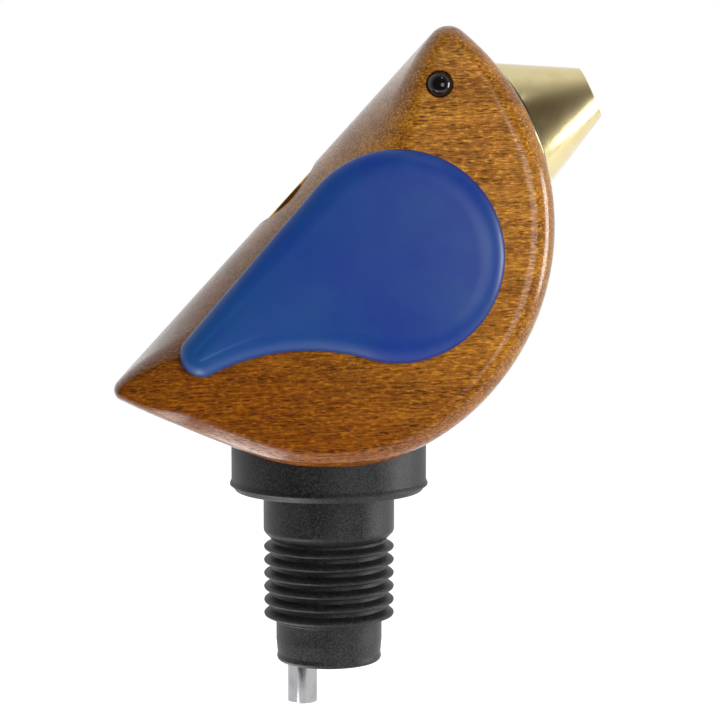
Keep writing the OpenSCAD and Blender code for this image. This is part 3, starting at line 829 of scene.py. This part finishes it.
# %% Beads
EYE_SINK, PIN_R, PIN_DEPTH = 0.2, 0.8, 6.0
neck = -math.acos(PIN_R / EYE_R)
f = np.linspace(neck, np.pi / 2, 48)
bead_line = np.column_stack([EYE_R * np.cos(f), EYE_R * np.sin(f) - EYE_SINK])
bead_line[-1, 0] = 0
pin_line = np.array([[0, -PIN_DEPTH], [PIN_R - 0.2, -PIN_DEPTH], [PIN_R, 0.2 - PIN_DEPTH]])
for side, name in ((1, "left"), (-1, "right")):
    points = sideways(spin(np.concatenate([pin_line, bead_line]), 72), side)
    mesh = new_mesh("eye_" + name, points, grid_faces(*points.shape[:2]))
    eye = add_object(f"eye_{name}_bead", mesh)
    shade(eye.data)
    dress(eye, bead.material, "eye_" + name)

# %% [markdown]
# ## The beak, the stopper and the air tube
# These are turned or moulded round an axis, so each is one profile spun round it. The corners of
# a profile are given with a radius each, and `fillet` rounds them: even a crisp edge on brass
# has a small radius, and that radius is what catches the light.

# %% Beak
def turned_piece(name, corners, node, finish, origin=(0, 0), angle=90, turns=192):
    """Spins a rounded profile and puts it on its axis."""
    line = fillet(corners)
    points = place(spin(line, turns), origin, angle)
    mesh = new_mesh(name, points, grid_faces(len(line), turns, rows_closed=True))
    piece = add_object(name, mesh)
    shade(mesh)
    dress(piece, finish.material, node)
    return piece


BEAK_BASE, BEAK_LEN, BASE_R, TIP_RIM_R = 37.45, 12.0, 10.6, 4.1
MOUTH_R, TAIL_R_OUT, TAIL_R_IN, TAIL_START = 3.5, 4.4, 3.4, 27.5
beak_tip = BEAK_BASE + BEAK_LEN
WEB_T, BASE_WALL = 1.2, 1.6
groove_in, groove_half, groove_at = 3.82, 0.4, 30.0
turned_piece("beak_brass_cone", [
    [TAIL_R_OUT, BEAK_BASE, 0.1], [BASE_R, BEAK_BASE, 0.12],
    [TIP_RIM_R + 0.08, beak_tip, 0.34], [MOUTH_R, beak_tip, 0.24],
    [BASE_R - BASE_WALL, BEAK_BASE + WEB_T, 0.4], [TAIL_R_IN, BEAK_BASE + WEB_T, 0.3],
    [TAIL_R_IN, TAIL_START, 0.1], [TAIL_R_OUT, TAIL_START, 0.25],
    [TAIL_R_OUT, groove_at - groove_half, 0.05], [groove_in, groove_at - groove_half, 0.05],
    [groove_in, groove_at + groove_half, 0.05], [TAIL_R_OUT, groove_at + groove_half, 0.05],
], "beak_cone", brass, BREAST_C, BEAK_ANGLE)

# %% [markdown]
# The black seal fills the gap between the cone and its seat. Its lip, which stands proud up the
# cone's base, is also a painted shadow: a dark band along the gap, where there is shade. The lip
# follows the round breast, so the lip's height changes round the beak, which a plain spun ring
# can't do: the profile's upper rows are arrays over the turn instead of single numbers. It overlaps
# the cone by a hair, so that no light shows between them.

# %% Seal
def seal_with_shadow_lip(turns=192, low=36.65, outer=10.98, proud=0.42, soft=0.1, hair=0.02,
                tail_clear=0.05):
    """A ring under the cone's base with a lip up its side. The ring is a real seal, and the lip is
    also a
    painted shadow: a dark band along the shaded gap at the cone's base. The lip's top is
    seat_rim(a) + proud, and its inner side follows the cone, whose radius falls by a constant share
    of the height."""
    a = np.linspace(0, 2 * np.pi, turns, endpoint=False)
    # The proud lip is a painted shadow: a dark band up the cone's base, where the gap is in shade.
    top = seat_rim(a) + proud
    fall = (BASE_R - TIP_RIM_R) / BEAK_LEN
    on_cone = np.minimum(BASE_R - fall * (top - BEAK_BASE), outer - 2.5 * soft) + hair
    one = np.ones(turns)
    under_base = BEAK_BASE - hair
    inner_low = np.minimum(under_base, top - soft)
    inner = (TAIL_R_OUT + tail_clear) * one
    r = np.stack([inner, outer * one, outer * one, (outer - soft) * one, on_cone,
                  np.maximum(on_cone, (BASE_R + hair) * one), inner])
    z = np.stack([low * one, low * one, top - soft, top, top, inner_low, under_base * one])
    return place(np.stack([r * np.cos(a), r * np.sin(a), z], -1), BREAST_C, BEAK_ANGLE)


seal_and_shadow_points = seal_with_shadow_lip()
seal_and_shadow_ring = add_object("beak_seal_and_shadow_lip", new_mesh(
    "beak_seal_and_shadow_lip", seal_and_shadow_points, grid_faces(*seal_and_shadow_points.shape[:2], rows_closed=True)))
shade(seal_and_shadow_ring.data)
dress(seal_and_shadow_ring, seal.material, "beak_seal")

# %% [markdown]
# The whistle's brass sleeve ends level with the ridge of the back. The crowned back falls away
# beside it, so a thin crescent of the sleeve's wall stands above the wood on each side.

# %% Whistle sleeve
SLEEVE_R, SLEEVE_BORE, LEDGE_R, AIR_R = 6.1, 5.0, 4.4, 1.1
SLEEVE_LOW, FLOOR_T, CAP_LOW = -7.5, 0.9, -4.5
RING_LOW, RING_HIGH = -6.2, -5.0
turned_piece("whistle_brass_sleeve", [
    [AIR_R, SLEEVE_LOW, 0.1], [SLEEVE_R, SLEEVE_LOW, 0.2], [SLEEVE_R, RING_LOW, 0.05],
    [SLEEVE_BORE, RING_LOW, 0.05], [SLEEVE_BORE, RING_HIGH, 0.05], [SLEEVE_R, RING_HIGH, 0.05],
    [SLEEVE_R, 0, 0.16], [SLEEVE_BORE, 0, 0.16], [SLEEVE_BORE, CAP_LOW, 0.03],
    [LEDGE_R, CAP_LOW, 0.03], [LEDGE_R, SLEEVE_LOW + FLOOR_T, 0.1],
    [AIR_R, SLEEVE_LOW + FLOOR_T, 0.1],
], "whistle_cup", whistle_brass, WHISTLE_C, BACK_NORMAL)

# %% [markdown]
# The stopper is one rubber moulding: a flange that the bird stands on, a neck, six thin ribs
# that bend in a bottle's mouth, and a plug. Each rib is a disc whose edge is thinner than its
# root. The steel air tube leaves it below, and carries air up to the whistle.

# %% Stopper
CORE_R, FLANGE_R, FLANGE_TOP, DISC_R, DISC_T = 7.6, 15.6, 10.6, 13.2, 3.0
RIB_R, RIB_CORE_R, FIRST_RIB, RIB_PITCH, RIB_HALF, RIB_COUNT = 10.5, 9.0, -9.1, 2.16, 0.72, 6
RIM_HIGH, RIM_LOW, NECK_END, NECK_FOOT, NECK_FOOT_R = 0.30, 0.40, -6.6, -7.85, 9.3
PLUG_R, PLUG_END, PLUG_GAP, PLUG_WAIST = 8.5, -27.6, 0.4, 3.2
stopper_line = [
    [CORE_R, FLANGE_TOP - DISC_T, 0.1], [DISC_R, FLANGE_TOP - DISC_T, 0.1],
    [DISC_R, FLANGE_TOP, 0.1], [FLANGE_R, FLANGE_TOP, 0.8], [FLANGE_R, 1.75, 0.6],
    [FLANGE_R + 0.25, 1.2, 0.1], [FLANGE_R + 0.25, 0.95, 0.08], [FLANGE_R - 0.1, 0.85, 0.08],
    [FLANGE_R - 0.65, 0.0, 0.4], [RIB_R, 0.0, 0.55], [RIB_R, NECK_END, 1.0],
    [NECK_FOOT_R, NECK_FOOT, 0.25], [RIB_CORE_R, NECK_FOOT, 0.1]]
for rib in range(RIB_COUNT):
    z = FIRST_RIB - rib * RIB_PITCH
    stopper_line += [[RIB_CORE_R, z + RIB_HALF, 0.2], [RIB_R - 0.35, z + RIM_HIGH, 0.25],
                     [RIB_R, z, 0.25], [RIB_R - 0.15, z - RIM_LOW, 0.2],
                     [RIB_CORE_R, z - RIB_HALF, 0.2]]
plug_top = FIRST_RIB - (RIB_COUNT - 1) * RIB_PITCH - RIB_HALF - PLUG_GAP
stopper_line += [
    [RIB_CORE_R, plug_top, 0.1], [PLUG_R, plug_top, 0.35], [PLUG_R, plug_top - PLUG_WAIST, 2.0],
    [PLUG_R - 0.2, PLUG_END + 1.2, 0.5], [PLUG_R - 0.08, PLUG_END + 0.5, 0.2],
    [PLUG_R - 0.3, PLUG_END, 0.3], [CORE_R, PLUG_END, 0.1]]
turned_piece("stopper_ribbed_rubber", stopper_line, "stopper_rubber", rubber)

# %% Air tube
TUBE_R, TUBE_WALL, TUBE_TOP, TUBE_END = 2.4, 0.5, 31.0, -34.6
turned_piece("air_tube_steel", [
    [TUBE_R, TUBE_TOP, 0.12], [TUBE_R - TUBE_WALL, TUBE_TOP, 0.12],
    [TUBE_R - TUBE_WALL, TUBE_END, 0.14], [TUBE_R, TUBE_END, 0.18],
], "air_tube", steel, (TUBE_X, 0), 90, 120)

# %% [markdown]
# ## The parts that stay as they were drawn
# The liners, the bush, the duct, the O-rings, the stopper's core and the whistle's cap are simple
# parts of the right shape. They keep their meshes and only get a finish.

# %% Finishes for the remaining parts
finish_of = {
    "socket_liner": liner, "spout_liner": liner, "beak_bush": liner, "air_duct": liner,
    "whistle_cap": whistle_brass, "whistle_ring": seal,
    "beak_o_ring": seal, "core_o_ring_lower": seal, "core_o_ring_upper": seal,
    "stopper_core": core,
}
for name, made in finish_of.items():
    nodes[name].data.materials.clear()
    nodes[name].data.materials.append(made.material)
print("parts kept:", len(finish_of))
